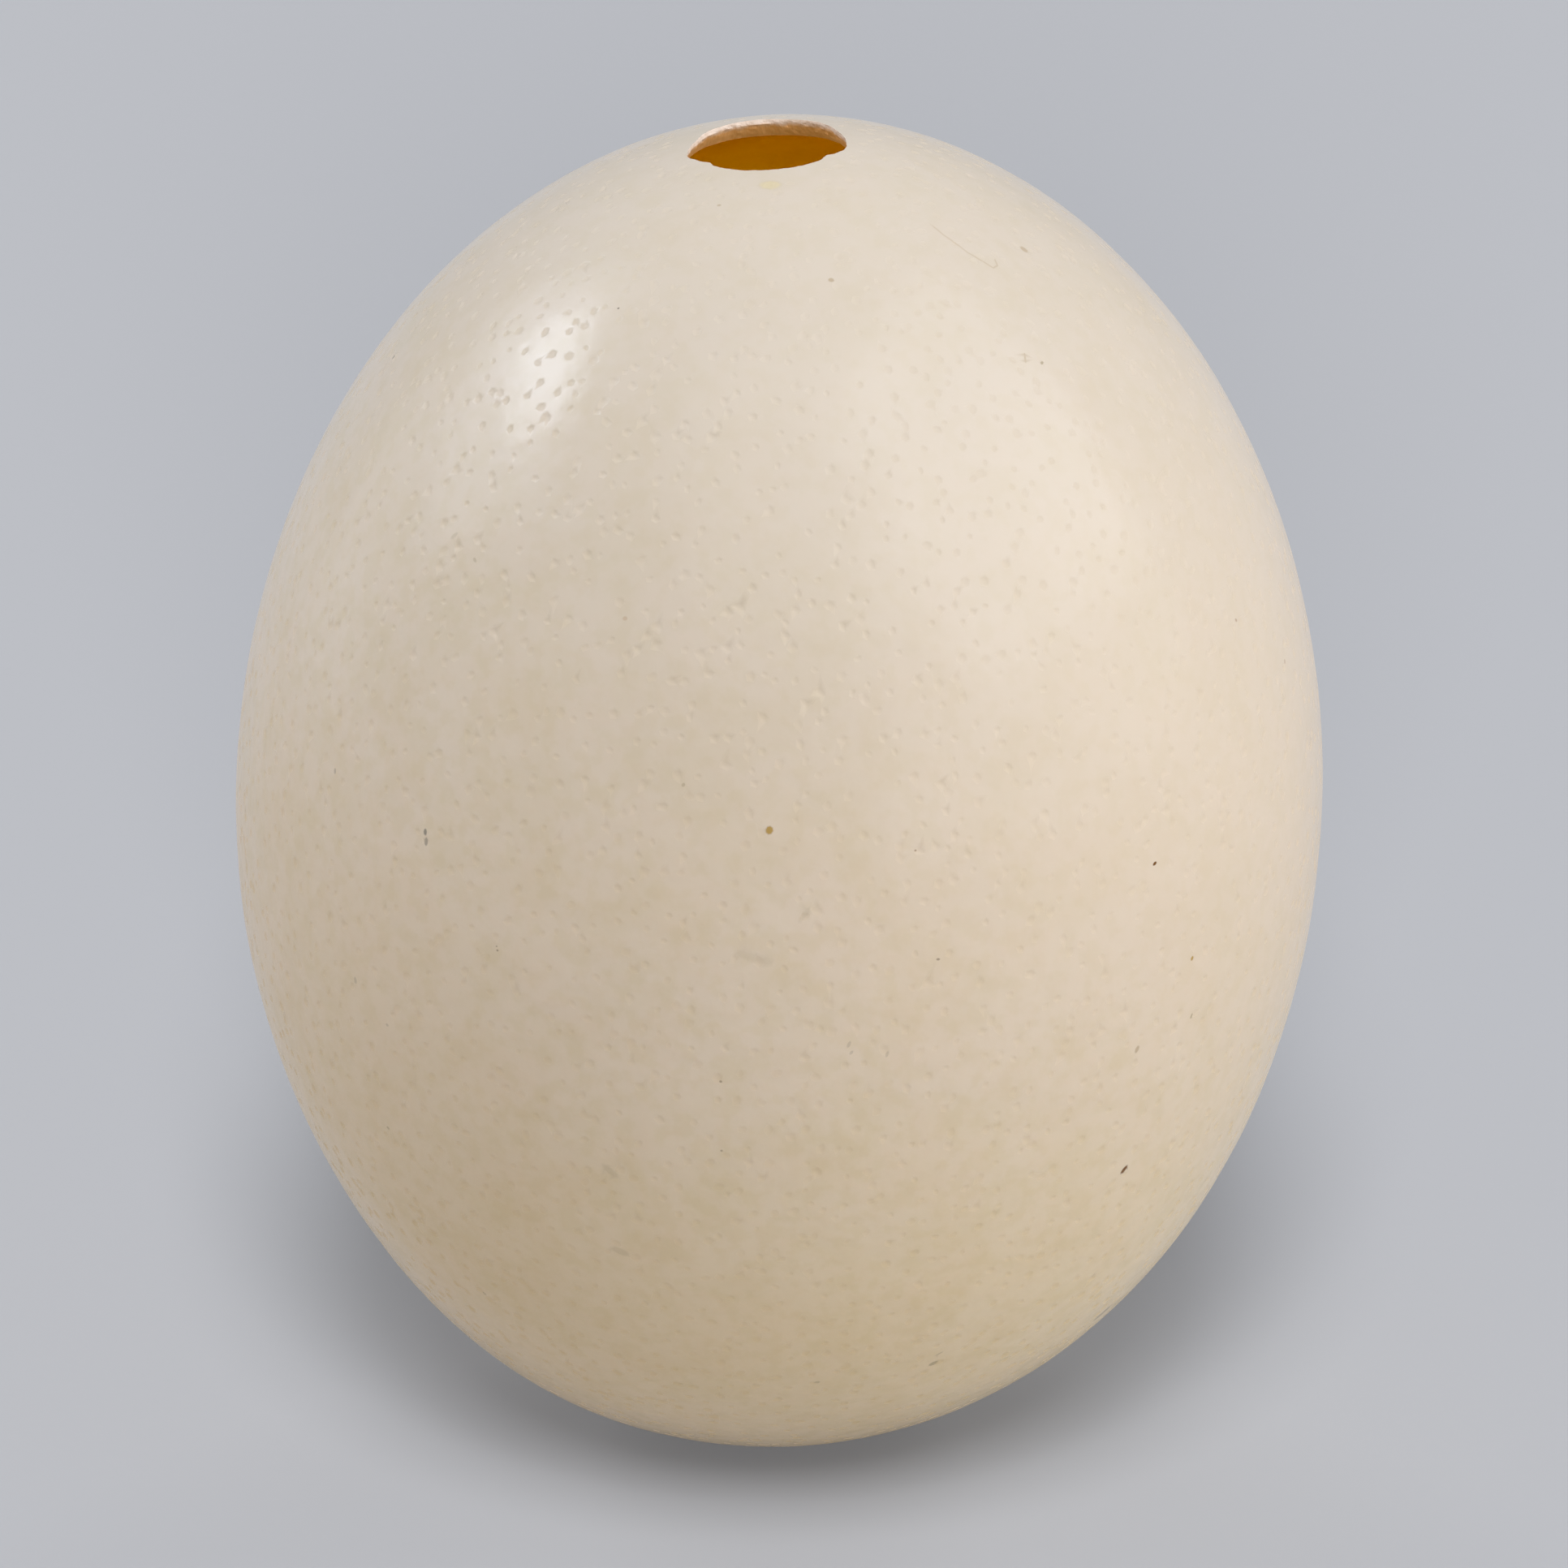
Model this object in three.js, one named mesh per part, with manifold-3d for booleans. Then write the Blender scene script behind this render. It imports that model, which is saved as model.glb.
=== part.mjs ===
// A blown ostrich egg: one hollow shell, grown as one piece, with a ragged hole at its
// upper end and a small flat spot under its lower end, on which it stands.
//
// Millimetres and degrees, +Z up. The origin is on the flat spot, straight below the
// egg's middle. +X is the side that the egg leans to.

import * as THREE from 'three';
import { mergeVertices } from 'three/addons/utils/BufferGeometryUtils.js';
import Module from 'manifold-3d';

// ---------------------------------------------------------------------------
// Driving dimensions
// ---------------------------------------------------------------------------

const HALF_LENGTH = 78.4;    // from the middle to either end, along the long axis
const HALF_WIDTH = 62.5;     // from the long axis to the outside, at the middle
const WALL = 2;              // thickness of the shell

// Preston's egg coefficients: how the width departs from a plain ellipse towards the ends.
const TAPER = -0.023;        // below zero, the upper end is the slimmer one
const FULLNESS = 0.026;      // above zero, both ends are blunt
const SKEW = -0.022;         // below zero, the lower end is the blunter one

const LEAN = 2.65;           // of the long axis, from upright towards +X
const MIDDLE_HEIGHT = 77.4;  // of the middle above the flat spot, which comes out 21 mm wide

// The flank is a little flatter in one place, low on the -X side.
const FLATTER = {
  depth: 1.6,                // at its deepest
  latitude: -43,             // of its centre, seen from the egg's middle
  azimuth: 180,
  spread: 21,                // angle from its centre at which it has nearly faded
};

// The hole is cut along the long axis. Its centre is in the egg's own, upright frame.
const HOLE = { radius: 8.7, x: -4.9, y: -1.3 };

// Where the rim broke unevenly: outwards by `reach`, or inwards where it is below zero.
const CHIPS = [
  { azimuth: -165, reach: 0.5, spread: 9 },
  { azimuth: -140, reach: -0.35, spread: 6 },
  { azimuth: -38, reach: -0.45, spread: 8 },
  { azimuth: -16, reach: 0.3, spread: 10 },
  { azimuth: 20, reach: -0.3, spread: 11 },
  { azimuth: 53, reach: 0.3, spread: 9 },
  { azimuth: 78, reach: -0.3, spread: 10 },
  { azimuth: 112, reach: 0.2, spread: 14 },
  { azimuth: 161, reach: -0.45, spread: 13 },
];

// Facets around and along each surface, and around the hole.
const OUTER_FACETS = { around: 60, along: 36 };
const INNER_FACETS = { around: 44, along: 26 };
const HOLE_FACETS = 48;

// ---------------------------------------------------------------------------
// Shape of the shell
// ---------------------------------------------------------------------------

const { degToRad } = THREE.MathUtils;

function directionAt(latitude, azimuth) {
  const fromUpperEnd = degToRad(90 - latitude);
  const direction = new THREE.Vector3().setFromSphericalCoords(1, fromUpperEnd, 0);
  direction.set(direction.z, 0, direction.y);
  return direction.applyAxisAngle(new THREE.Vector3(0, 0, 1), degToRad(azimuth));
}

const flatterCentre = directionAt(FLATTER.latitude, FLATTER.azimuth);

// The point of the surface that lies `inset` inside the outside, for a unit direction whose
// z is the sine of the latitude. The egg is upright here, with its middle at the origin.
function shellPoint(direction, inset) {
  const s = direction.z;
  const preston = 1 + TAPER * s + FULLNESS * s ** 2 + SKEW * s ** 3;
  const point = new THREE.Vector3(
    direction.x * (HALF_WIDTH - inset) * preston,
    direction.y * (HALF_WIDTH - inset) * preston,
    s * (HALF_LENGTH - inset),
  );
  const offCentre = direction.angleTo(flatterCentre) / degToRad(FLATTER.spread);
  const flattening = FLATTER.depth * Math.exp(-(offCentre ** 2)) / HALF_WIDTH;
  return point.multiplyScalar(1 - flattening);
}

// A closed egg whose surface lies `inset` inside the outside of the shell.
function ovoid(inset, facets) {
  const geometry = new THREE.SphereGeometry(1, facets.around, facets.along);
  geometry.rotateX(Math.PI / 2);
  const vertices = geometry.attributes.position;
  const direction = new THREE.Vector3();
  for (let i = 0; i < vertices.count; i += 1) {
    direction.fromBufferAttribute(vertices, i).normalize();
    const point = shellPoint(direction, inset);
    vertices.setXYZ(i, point.x, point.y, point.z);
  }
  return geometry;
}

// ---------------------------------------------------------------------------
// What is cut away
// ---------------------------------------------------------------------------

function rimRadius(azimuth) {
  let radius = HOLE.radius;
  for (const chip of CHIPS) {
    const turn = THREE.MathUtils.euclideanModulo(azimuth - chip.azimuth + 180, 360) - 180;
    radius += chip.reach * Math.exp(-((turn / chip.spread) ** 2));
  }
  return radius;
}

// A ragged plug along the long axis, from well above the upper end down into the hollow.
function holePlug() {
  const outline = [];
  for (let i = 0; i < HOLE_FACETS; i += 1) {
    const azimuth = (i * 360) / HOLE_FACETS;
    const radius = rimRadius(azimuth);
    const x = HOLE.x + radius * Math.cos(degToRad(azimuth));
    const y = HOLE.y + radius * Math.sin(degToRad(azimuth));
    outline.push(new THREE.Vector2(x, y));
  }
  const depth = 10 * WALL;
  const plug = new THREE.ExtrudeGeometry(new THREE.Shape(outline), { depth, bevelEnabled: false });
  return plug.translate(0, 0, HALF_LENGTH - depth / 2);
}

// A block whose top is the plane that the egg stands on.
function groundBlock() {
  const side = HALF_WIDTH;
  return new THREE.BoxGeometry(side, side, side).translate(0, 0, -side / 2);
}

// Leans an upright shape, then lifts the egg's middle to its height.
function stand(geometry) {
  return geometry.rotateY(degToRad(LEAN)).translate(0, 0, MIDDLE_HEIGHT);
}

// ---------------------------------------------------------------------------
// Solids
// ---------------------------------------------------------------------------

const wasm = await Module();
wasm.setup();

function toSolid(geometry) {
  geometry.deleteAttribute('normal');
  geometry.deleteAttribute('uv');
  const merged = mergeVertices(geometry);
  return new wasm.Manifold(new wasm.Mesh({
    numProp: 3,
    vertProperties: new Float32Array(merged.attributes.position.array),
    triVerts: new Uint32Array(merged.index.array),
  }));
}

function toGeometry(solid) {
  const mesh = solid.getMesh();
  const geometry = new THREE.BufferGeometry();
  geometry.setAttribute('position', new THREE.BufferAttribute(mesh.vertProperties, mesh.numProp));
  geometry.setIndex(new THREE.BufferAttribute(mesh.triVerts, 1));
  geometry.computeVertexNormals();
  return geometry;
}

function eggshell() {
  const outside = toSolid(stand(ovoid(0, OUTER_FACETS)));
  const hollow = toSolid(stand(ovoid(WALL, INNER_FACETS)));
  const hole = toSolid(stand(holePlug()));
  const ground = toSolid(groundBlock());
  const shell = outside.subtract(hollow).subtract(hole).subtract(ground);

  const ivory = new THREE.MeshStandardMaterial({ color: 0xded2bd, roughness: 0.4, metalness: 0 });
  const mesh = new THREE.Mesh(toGeometry(shell), ivory);
  mesh.name = 'eggshell';
  return mesh;
}

const egg = new THREE.Group();
egg.add(eggshell());

export default egg;
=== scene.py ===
"""A blown ostrich egg: a thin ivory shell, standing on its blunt end, with a broken hole on top.

One mesh stands for the CAD shell. Its outside has the egg's pores as real pits, its rim is a
broken edge, and its inside is the amber that light through the shell makes of it.
Metres and +Z up, in the CAD part's frame. The camera stands on the -Y side.
"""

import bpy
import numpy as np
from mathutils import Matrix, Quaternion, Vector, noise
from mathutils.geometry import delaunay_2d_cdt
from mathutils.kdtree import KDTree


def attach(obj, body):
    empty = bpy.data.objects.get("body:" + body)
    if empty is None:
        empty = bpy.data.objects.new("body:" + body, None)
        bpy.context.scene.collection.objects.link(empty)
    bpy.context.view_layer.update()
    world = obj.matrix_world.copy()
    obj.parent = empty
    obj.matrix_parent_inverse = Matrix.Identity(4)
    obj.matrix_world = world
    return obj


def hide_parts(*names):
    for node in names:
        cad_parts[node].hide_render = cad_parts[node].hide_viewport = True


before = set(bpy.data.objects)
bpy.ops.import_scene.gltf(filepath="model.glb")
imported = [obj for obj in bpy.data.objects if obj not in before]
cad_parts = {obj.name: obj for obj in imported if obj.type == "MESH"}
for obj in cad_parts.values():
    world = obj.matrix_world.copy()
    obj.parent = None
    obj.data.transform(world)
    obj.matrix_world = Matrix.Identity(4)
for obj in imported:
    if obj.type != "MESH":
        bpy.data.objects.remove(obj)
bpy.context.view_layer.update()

MM = 0.001

# ---------------------------------------------------------------------------
# The egg's shape, with the CAD part's own dimensions
# ---------------------------------------------------------------------------

HALF_LENGTH = 78.4 * MM
HALF_WIDTH = 62.5 * MM
WALL = 2 * MM

# Preston's egg coefficients: how the width departs from a plain ellipse towards the ends.
TAPER = -0.023
FULLNESS = 0.026
SKEW = -0.022

LEAN = np.radians(2.65)
MIDDLE_HEIGHT = 77.4 * MM

HOLE_RADIUS = 8.7 * MM
HOLE_CENTRE = np.array((-4.9, -1.3)) * MM

# Where the rim broke unevenly: azimuth in degrees, reach outwards in mm, spread in degrees.
CHIPS = (
    (-165, 0.5, 9),
    (-140, -0.35, 6),
    (-38, -0.45, 8),
    (-16, 0.3, 10),
    (20, -0.3, 11),
    (53, 0.3, 9),
    (78, -0.3, 10),
    (112, 0.2, 14),
    (161, -0.45, 13),
)


def unit(vectors):
    return vectors / np.linalg.norm(vectors, axis=-1, keepdims=True)


def direction_at(latitude, azimuth):
    latitude, azimuth = np.radians((latitude, azimuth))
    across = np.cos(latitude)
    return np.array((across * np.cos(azimuth), across * np.sin(azimuth), np.sin(latitude)))


# The flank is a little flatter in one place, low on the -X side.
FLATTER_DEPTH = 1.6 * MM
FLATTER_CENTRE = direction_at(-43, 180)
FLATTER_SPREAD = np.radians(21)


def reach(direction, inset=0.0):
    """How far the shell reaches along x, y and z for each unit direction. The egg is upright,
    with its middle at the origin, and the surface lies `inset` inside the shell's outside."""
    s = direction[:, 2]
    preston = 1 + TAPER * s + FULLNESS * s**2 + SKEW * s**3
    off_centre = np.arccos(np.clip(direction @ FLATTER_CENTRE, -1, 1)) / FLATTER_SPREAD
    kept = 1 - FLATTER_DEPTH / HALF_WIDTH * np.exp(-(off_centre**2))
    across = (HALF_WIDTH - inset) * preston * kept
    along = (HALF_LENGTH - inset) * kept
    return np.column_stack((across, across, along))


def shell_point(direction, inset=0.0):
    return direction * reach(direction, inset)


def direction_of(point):
    """The direction whose shell point is the one that lies towards each point."""
    direction = unit(point)
    for _ in range(5):
        direction = unit(point / reach(direction))
    return direction


def direction_over(plan, inset):
    """The direction of the shell point, near the upper end, with each x and y."""
    direction = np.tile((0.0, 0.0, 1.0), (len(plan), 1))
    for _ in range(5):
        across = plan / reach(direction, inset)[:, :2]
        direction = np.column_stack((across, np.sqrt(1 - (across**2).sum(axis=1))))
    return direction


def stand(vectors):
    """Leans vectors of the upright egg as the real one leans."""
    x, y, z = vectors.T
    return np.column_stack(
        (x * np.cos(LEAN) + z * np.sin(LEAN), y, z * np.cos(LEAN) - x * np.sin(LEAN))
    )


def place(point):
    """Points of the upright egg, where they are in the row's frame."""
    return stand(point) + (0, 0, MIDDLE_HEIGHT)


def unplace(point):
    """Points of the row's frame, where they are in the upright egg."""
    x, y, z = (point - (0, 0, MIDDLE_HEIGHT)).T
    return np.column_stack(
        (x * np.cos(LEAN) - z * np.sin(LEAN), y, z * np.cos(LEAN) + x * np.sin(LEAN))
    )


def tangents(direction):
    """Two unit vectors at right angles to each direction and to each other."""
    steep = np.abs(direction[:, 2:]) > 0.9
    helper = np.where(steep, (1.0, 0.0, 0.0), (0.0, 0.0, 1.0))
    first = unit(np.cross(helper, direction))
    return first, np.cross(direction, first)


def lattice(count):
    """Directions spread evenly over the sphere, on a spiral."""
    i = np.arange(count)
    z = 1 - (2 * i + 1) / count
    turn = i * np.pi * (3 - np.sqrt(5))
    across = np.sqrt(1 - z**2)
    return np.column_stack((across * np.cos(turn), across * np.sin(turn), z))


# ---------------------------------------------------------------------------
# Camera
# ---------------------------------------------------------------------------

PHOTO_SIDE = 1932
FOCAL_PIXELS = 9617
CAMERA_ELEVATION = np.radians(22)
CAMERA_DISTANCE = 900 * MM
AIM = np.array((0.53 * MM, 0, MIDDLE_HEIGHT + 0.09 * MM))
SENSOR_WIDTH = 36
RAY_STEPS = 80
RAY_STRIDE = 0.7

VIEW_RIGHT = np.array((1.0, 0.0, 0.0))
VIEW_FORWARD = np.array((0.0, np.cos(CAMERA_ELEVATION), -np.sin(CAMERA_ELEVATION)))
VIEW_UP = np.cross(VIEW_RIGHT, VIEW_FORWARD)
CAMERA_PLACE = AIM - VIEW_FORWARD * CAMERA_DISTANCE


def make_camera():
    data = bpy.data.cameras.new("camera")
    data.sensor_width = SENSOR_WIDTH
    data.lens = FOCAL_PIXELS / PHOTO_SIDE * SENSOR_WIDTH
    camera = bpy.data.objects.new("camera", data)
    camera.location = CAMERA_PLACE
    camera.rotation_euler = (np.pi / 2 - CAMERA_ELEVATION, 0, 0)
    bpy.context.collection.objects.link(camera)
    bpy.context.scene.camera = camera


def seen_at(pixels):
    """Where the rays through pixels of the 1932 pixel photograph meet the upright egg. At each
    step a ray closes a share of its gap to the egg."""
    across, down = (np.asarray(pixels, dtype=float) - PHOTO_SIDE / 2).T / FOCAL_PIXELS
    ray = unit(VIEW_FORWARD + across[:, None] * VIEW_RIGHT - down[:, None] * VIEW_UP)
    travelled = np.full(len(ray), CAMERA_DISTANCE - 2 * HALF_LENGTH)
    for _ in range(RAY_STEPS):
        point = unplace(CAMERA_PLACE + ray * travelled[:, None])
        surface = shell_point(direction_of(point))
        gap = np.linalg.norm(point, axis=1) - np.linalg.norm(surface, axis=1)
        travelled += RAY_STRIDE * gap
    return point


# ---------------------------------------------------------------------------
# Pits: the pores of the outside
# ---------------------------------------------------------------------------

SEED = 7
PITS = 9400                 # before those that crowd another are left out
PIT_JITTER = 0.3            # of the spacing between pits
TWIN_SHARE = 0.12           # pits that open right beside another
TWIN_GAP = (1.3 * MM, 1.7 * MM)
PIT_GAP = 1.25 * MM         # least distance between the middles of two pits
PIT_RADIUS = (0.5 * MM, 0.85 * MM)
PIT_STEEPNESS = (0.06, 0.15)    # depth over radius
PIT_STRETCH = 0.2           # largest lengthening of a pit
PIT_MARGIN = 1.5 * MM       # from a pit's middle to the hole and to the flat spot
PIT_RINGS = (0.5, 1.0)      # where a pit's corners are: on its slope and on its edge
PIT_CORNERS = 5
DEEPEST_PIXEL = (610, 480)  # the pits are deeper here, beside the highlight, than elsewhere
DEEPEST_SPREAD = 40 * MM
DEPTH_FACTOR = (0.8, 1.5)   # far from there, and there

WAVES = 24                  # long, low ripples that make the outside uneven
WAVE_LENGTH = (6 * MM, 20 * MM)
WAVE_SLOPE = 0.002          # of each one

NORMAL_STEP = 0.03 * MM


def nearest(places, points, count):
    """The numbers of the places nearest to each point."""
    tree = KDTree(len(places))
    for number, spot in enumerate(places.tolist()):
        tree.insert(spot, number)
    tree.balance()
    return np.array([[found[1] for found in tree.find_n(p, count)] for p in points.tolist()])


class Pits:
    """Elliptical pits in the outside, given in the upright egg."""

    def __init__(self, rng):
        spacing = np.sqrt(4 * np.pi / PITS)
        spread = lattice(PITS) + rng.normal(0, PIT_JITTER * spacing, (PITS, 3))
        direction = self.thin_out(self.pair_up(unit(spread), rng))
        direction = direction[clear_of_edges(direction, PIT_MARGIN)]
        count = len(direction)
        radius = rng.uniform(*PIT_RADIUS, count)
        stretch = 1 + PIT_STRETCH * rng.random(count)
        turn = rng.random((count, 1)) * 2 * np.pi
        first, second = tangents(direction)
        self.centre = shell_point(direction)
        self.long_axis = first * np.cos(turn) + second * np.sin(turn)
        self.short_axis = second * np.cos(turn) - first * np.sin(turn)
        self.long = radius * stretch
        self.short = radius / stretch
        away = np.linalg.norm(self.centre - seen_at([DEEPEST_PIXEL]), axis=1) / DEEPEST_SPREAD
        factor = DEPTH_FACTOR[0] + (DEPTH_FACTOR[1] - DEPTH_FACTOR[0]) * np.exp(-(away**2))
        self.depth = radius * rng.uniform(*PIT_STEEPNESS, count) * factor

    @staticmethod
    def pair_up(direction, rng):
        """Moves some pits to right beside another."""
        twins = rng.random(len(direction)) < TWIN_SHARE
        partner = rng.integers(0, len(direction), twins.sum())
        first, second = tangents(direction[partner])
        turn = rng.random((twins.sum(), 1)) * 2 * np.pi
        gap = rng.uniform(*TWIN_GAP, (twins.sum(), 1)) / HALF_WIDTH
        beside = direction[partner] + gap * (first * np.cos(turn) + second * np.sin(turn))
        direction[twins] = unit(beside)
        return direction

    @staticmethod
    def thin_out(direction):
        """Leaves out pits that crowd one that comes before them."""
        points = shell_point(direction)
        near = nearest(points, points, 4)
        gap = np.linalg.norm(points[near] - points[:, None], axis=-1)
        earlier = near < np.arange(len(points))[:, None]
        return direction[~(earlier & (gap < PIT_GAP)).any(axis=1)]

    def ring(self, size):
        """Directions of points round each pit, `size` times as far out as its edge."""
        turn = (np.arange(PIT_CORNERS) + size) * 2 * np.pi / PIT_CORNERS
        along = self.long[:, None] * size * np.cos(turn)
        beside = self.short[:, None] * size * np.sin(turn)
        points = (
            self.centre[:, None]
            + self.long_axis[:, None] * along[..., None]
            + self.short_axis[:, None] * beside[..., None]
        )
        return direction_of(points.reshape(-1, 3))

    def vertices(self):
        """Directions that draw every pit: its middle and the rings round it."""
        return np.concatenate([direction_of(self.centre), *map(self.ring, PIT_RINGS)])

    def near(self, direction, count=4):
        """The numbers of the pits nearest to each direction."""
        return nearest(self.centre, shell_point(direction), count)

    def inside(self, point, near):
        """How far each point is into each of its nearest pits: 0 at the edge, 1 in the middle."""
        offset = point[:, None] - self.centre[near]
        along = (offset * self.long_axis[near]).sum(axis=-1) / self.long[near]
        beside = (offset * self.short_axis[near]).sum(axis=-1) / self.short[near]
        return np.clip(1 - along**2 - beside**2, 0, 1)


def rim_radius(azimuth):
    """The CAD hole's radius at each azimuth, in radians, round its centre."""
    radius = np.full_like(azimuth, HOLE_RADIUS)
    for chip, out, spread in CHIPS:
        turn = (np.degrees(azimuth) - chip + 180) % 360 - 180
        radius += out * MM * np.exp(-((turn / spread) ** 2))
    return radius


SPOT_SLOPE = 0.17           # the skin rises from the flat spot at least this steeply


def clear_of_edges(direction, margin):
    """Which directions are on the skin, off the hole and off the flat spot by about a margin."""
    point = shell_point(direction)
    x, y = (point[:, :2] - HOLE_CENTRE).T
    off_hole = (np.hypot(x, y) > rim_radius(np.arctan2(y, x)) + margin) | (point[:, 2] < 0)
    return off_hole & (place(point)[:, 2] > SPOT_SLOPE * margin)


class Skin:
    """The outside of the shell, with its pits and ripples."""

    def __init__(self, rng):
        self.pits = Pits(rng)
        length = rng.uniform(*WAVE_LENGTH, WAVES)
        self.wave_vectors = unit(rng.normal(size=(WAVES, 3))) * (2 * np.pi / length)[:, None]
        self.wave_phases = rng.random(WAVES) * 2 * np.pi
        self.wave_heights = WAVE_SLOPE * length / (2 * np.pi)

    def sunk(self, direction, near):
        """How deep the skin lies under the plain egg at each direction."""
        point = shell_point(direction)
        into = self.pits.inside(point, near)
        pit = (self.pits.depth[near] * into**2).max(axis=1)
        ripple = np.sin(point @ self.wave_vectors.T + self.wave_phases) @ self.wave_heights
        return pit + ripple

    def point(self, direction, near):
        return shell_point(direction, self.sunk(direction, near))

    def normal(self, direction, near):
        """The skin's true normals, from how it moves with small steps either way."""
        step = NORMAL_STEP / HALF_WIDTH
        first, second = tangents(direction)
        ends = [
            self.point(unit(direction + step * move), near)
            for move in (first, -first, second, -second)
        ]
        return unit(np.cross(ends[0] - ends[1], ends[2] - ends[3]))


# ---------------------------------------------------------------------------
# Marks: specks, stains and scratches, each at the pixel where the photograph shows it
# ---------------------------------------------------------------------------

OCHRE = (0.56, 0.35, 0.1)
ORANGE = (0.52, 0.27, 0.09)
BROWN = (0.2, 0.075, 0.004)
DARK = (0.09, 0.05, 0.02)
RUST = (0.36, 0.19, 0.09)
TAN = (0.5, 0.36, 0.2)
OLIVE = (0.36, 0.28, 0.14)
GREY = (0.22, 0.2, 0.155)
STRAW = (0.82, 0.68, 0.36)

# Pixel, length and width in mm, turn from the image's horizontal in degrees, colour, strength.
MARKS = (
    ((948, 1023), 1.0, 0.85, 80, OCHRE, 1.0),
    ((1385, 1441), 1.35, 0.6, 60, BROWN, 1.0),
    ((1423, 1064), 0.65, 0.4, 30, BROWN, 1.0),
    ((1469, 1181), 0.6, 0.45, 70, OCHRE, 1.0),
    ((1468, 1252), 0.7, 0.25, 75, OLIVE, 0.7),
    ((1401, 1293), 1.0, 0.6, 80, TAN, 0.6),
    ((524, 1025), 0.8, 0.5, 80, GREY, 0.75),
    ((525, 1037), 1.0, 0.5, 80, GREY, 0.6),
    ((1358, 1618), 3.0, 1.3, 35, GREY, 0.5),
    ((1150, 1680), 1.3, 0.8, 50, OLIVE, 0.6),
    ((1157, 1668), 1.2, 0.3, 55, OLIVE, 0.4),
    ((1007, 1703), 0.7, 0.6, 0, OLIVE, 0.4),
    ((1262, 307), 1.1, 0.8, -40, TAN, 0.55),
    ((1263, 441), 1.6, 0.25, 85, TAN, 0.5),
    ((1284, 447), 0.6, 0.35, 60, OLIVE, 0.6),
    ((1128, 1048), 0.3, 0.25, 0, BROWN, 0.5),
    ((842, 967), 0.5, 0.4, 60, OLIVE, 0.35),
    ((1024, 345), 0.7, 0.6, 0, TAN, 0.6),
    ((886, 253), 0.5, 0.4, 0, TAN, 0.5),
    ((1523, 764), 0.5, 0.4, 0, RUST, 0.5),
    ((1583, 815), 0.6, 0.4, 80, RUST, 0.45),
    ((485, 440), 0.6, 0.5, 0, GREY, 0.6),
    ((762, 380), 0.3, 0.25, 0, DARK, 0.7),
    ((560, 660), 1.2, 0.5, 20, OLIVE, 0.25),
    ((585, 690), 0.7, 0.4, -50, OLIVE, 0.3),
    ((770, 762), 0.6, 0.5, 0, ORANGE, 0.3),
    ((413, 950), 0.7, 0.4, 80, GREY, 0.4),
    ((612, 1166), 0.25, 0.2, 0, DARK, 0.4),
    ((613, 1171), 0.3, 0.25, 0, DARK, 0.5),
    ((438, 1208), 0.9, 0.5, 80, GREY, 0.3),
    ((477, 1263), 0.5, 0.4, 0, GREY, 0.3),
    ((478, 1390), 0.5, 0.4, 0, OLIVE, 0.5),
    ((597, 1594), 0.6, 0.4, -40, OLIVE, 0.5),
    ((752, 1443), 2.6, 0.9, -45, OLIVE, 0.22),
    ((764, 1542), 2.4, 1.0, -20, OLIVE, 0.22),
    ((1046, 1287), 0.9, 0.4, 75, GREY, 0.25),
    ((1049, 1297), 0.6, 0.35, 60, GREY, 0.25),
    ((1093, 1299), 0.8, 0.35, 80, GREY, 0.25),
    ((1156, 1182), 0.45, 0.3, 0, DARK, 0.5),
    ((888, 1333), 0.35, 0.3, 0, DARK, 0.45),
    ((889, 1418), 0.3, 0.3, 0, DARK, 0.4),
    ((991, 1127), 2.2, 0.7, 60, OLIVE, 0.16),
    ((930, 1180), 5.0, 1.2, -15, OLIVE, 0.14),
    ((949, 228), 2.6, 1.8, 0, STRAW, 0.5),
)
MARK_CORE = 0.75            # share of a mark's width that has its full strength
MARK_FADE = 1.2             # where it has faded away
MARK_CORNERS = 8
UNMARKED = (0.6, 0.5, 0.36) # a colour of no strength, which a mark's edge fades towards

# A hairline scratch, high on the right, that ends in a hook.
SCRATCH = (
    (1151, 280), (1163, 290), (1178, 300), (1192, 311), (1205, 318),
    (1216, 325), (1224, 330), (1229, 327), (1226, 320),
)
SCRATCH_WIDTH = 0.17 * MM
SCRATCH_STRENGTH = 0.42
SCRATCH_STEPS = 6           # from one of its corners to the next
SCRATCH_REACH = (0.5, 1.5)  # widths off its middle that have its strength, and its colour


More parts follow.
